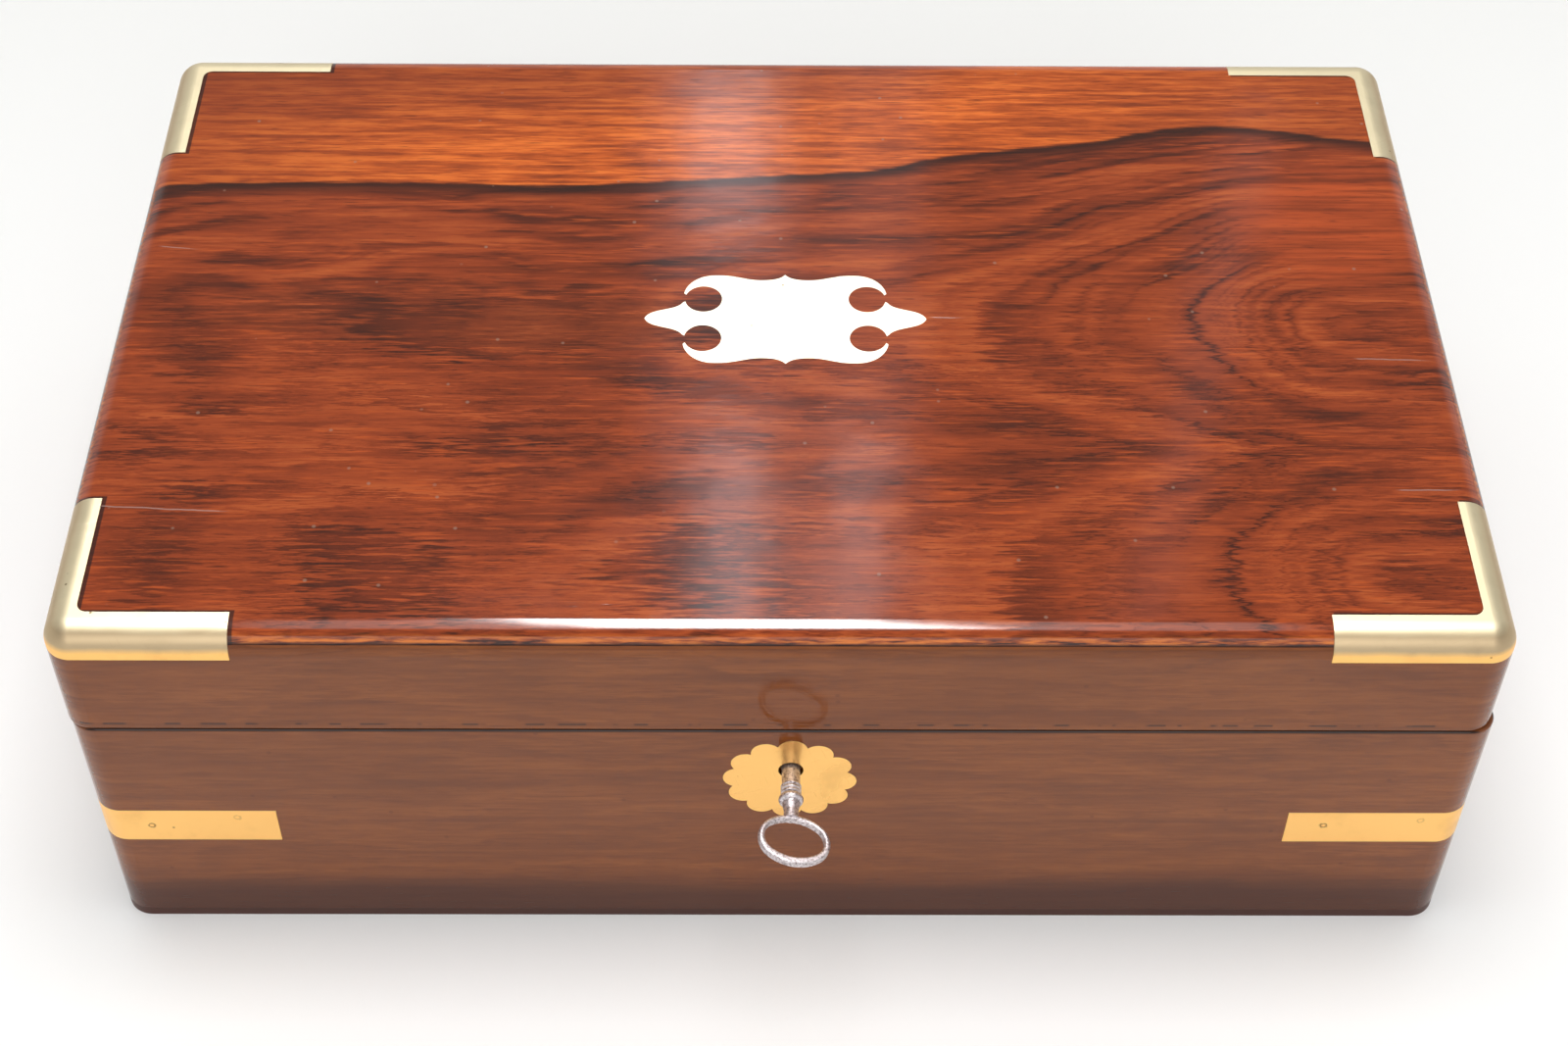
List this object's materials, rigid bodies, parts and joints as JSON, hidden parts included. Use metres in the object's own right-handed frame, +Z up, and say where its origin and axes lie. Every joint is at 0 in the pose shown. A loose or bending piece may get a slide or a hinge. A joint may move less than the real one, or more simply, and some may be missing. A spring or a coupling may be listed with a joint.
{
  "type": "writing slope",
  "caption": "Brass-bound rosewood writing slope, shut, with a flush cartouche, scalloped lock escutcheon and a key in the lock.",
  "frame": {"origin": "centre of the underside, on the surface that the box stands on", "axes": "+X to the right of someone facing the lock, +Y from the lock side to the hinge side, +Z up"},
  "size_m": [0.4006, 0.2877, 0.132],
  "materials": {
    "figured_rosewood": "French polish",
    "rosewood": "French polish",
    "inner_wood": "satin",
    "brass": "polished, lightly worn",
    "steel": "worn bright",
    "leather": "waxed",
    "glass": "clear"
  },
  "bodies": {
    "base": {"base_back": "rosewood", "base_bottom": "rosewood", "base_flap": "inner_wood", "base_flap_hinges": "brass", "base_flap_ledges": "inner_wood", "base_front": "rosewood", "base_leather": "leather", "base_left": "rosewood", "base_right": "rosewood", "base_strap_back_left": "brass", "base_strap_back_right": "brass", "base_strap_front_left": "brass", "base_strap_front_right": "brass", "bay_divider_left": "inner_wood", "bay_divider_right": "inner_wood", "bay_floor_left": "inner_wood", "bay_floor_right": "inner_wood", "bottle_cap_left": "brass", "bottle_cap_right": "brass", "drill_pin": "steel", "escutcheon": "brass", "hinge_leaf_base_left": "brass", "hinge_leaf_base_right": "brass", "hinge_pin_left": "steel", "hinge_pin_right": "steel", "hinge_screws_base": "brass", "ink_bottle_left": "glass", "ink_bottle_right": "glass", "lock_cap": "brass", "lock_case": "brass", "lock_screws": "brass", "pen_tray": "inner_wood", "tray_divider": "inner_wood", "tray_supports": "inner_wood"},
    "lid": {"cartouche": "brass", "catch_plates": "brass", "hinge_leaf_lid_left": "brass", "hinge_leaf_lid_right": "brass", "hinge_screws_lid": "brass", "lid_back": "rosewood", "lid_corner_back_left": "brass", "lid_corner_back_right": "brass", "lid_corner_front_left": "brass", "lid_corner_front_right": "brass", "lid_flap": "inner_wood", "lid_flap_hinges": "brass", "lid_flap_ledges": "inner_wood", "lid_front": "rosewood", "lid_leather": "leather", "lid_left": "rosewood", "lid_right": "rosewood", "lid_top": "figured_rosewood", "link_plate": "brass", "link_screws": "brass"},
    "key": {"key": "steel"},
    "bolt": {"lock_bolt": "steel"},
    "catch_left": {"catch_left": "brass"},
    "catch_right": {"catch_right": "brass"}
  },
  "joints": [
    {"name": "lid_hinge", "type": "hinge", "parent": "base", "child": "lid", "pos_m": [0, 0.1265, 0.066], "axis": [-1, 0, 0], "range_deg": [0, 180]},
    {"name": "key_turn", "type": "hinge", "parent": "base", "child": "key", "pos_m": [0.0021, -0.126, 0.074], "axis": [0, 1, 0], "range_deg": [-104, 256]},
    {"name": "bolt_slide", "type": "slide", "parent": "base", "child": "bolt", "axis": [1, 0, 0], "range_m": [-0.00158, 0.00391]},
    {"name": "catch_left_slide", "type": "slide", "parent": "lid", "child": "catch_left", "axis": [0, -0.9945, 0.1044], "range_m": [0, 0.004]},
    {"name": "catch_right_slide", "type": "slide", "parent": "lid", "child": "catch_right", "axis": [0, -0.9945, 0.1044], "range_m": [0, 0.004]}
  ],
  "couplings": [
    {"joint": "key_turn", "follows": "bolt_slide", "rad_per_m": 1142.4}
  ]
}
